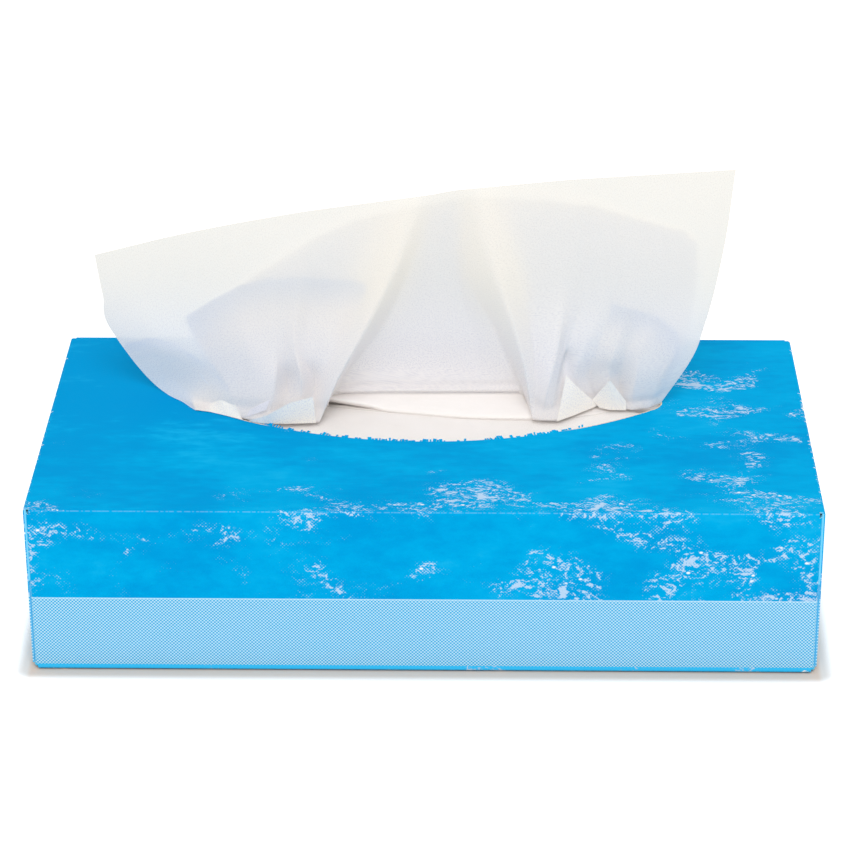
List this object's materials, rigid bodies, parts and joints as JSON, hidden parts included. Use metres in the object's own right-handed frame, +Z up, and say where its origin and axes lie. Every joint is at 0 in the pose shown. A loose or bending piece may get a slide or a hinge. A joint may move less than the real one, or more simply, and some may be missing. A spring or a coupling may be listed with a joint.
{
  "type": "tissue box",
  "caption": "Flat printed carton of facial tissues; a lens-shaped opening in its top, lined with slit clear film, holds one drawn-up tissue ready to take.",
  "frame": {"origin": "middle of the carton's base", "axes": "+X along the carton's long side, +Y from its front panel to its back panel, +Z up"},
  "size_m": [0.23, 0.12, 0.1275],
  "materials": {
    "printed_board": "printed, semi-gloss outside",
    "clear_film": "clear, glossy",
    "tissue": "soft, matte, creped"
  },
  "bodies": {
    "root": {"carton": "printed_board", "film_window": "clear_film", "tissue_stack": "tissue", "pulled_sheet": "tissue", "next_sheet": "tissue"}
  },
  "joints": []
}
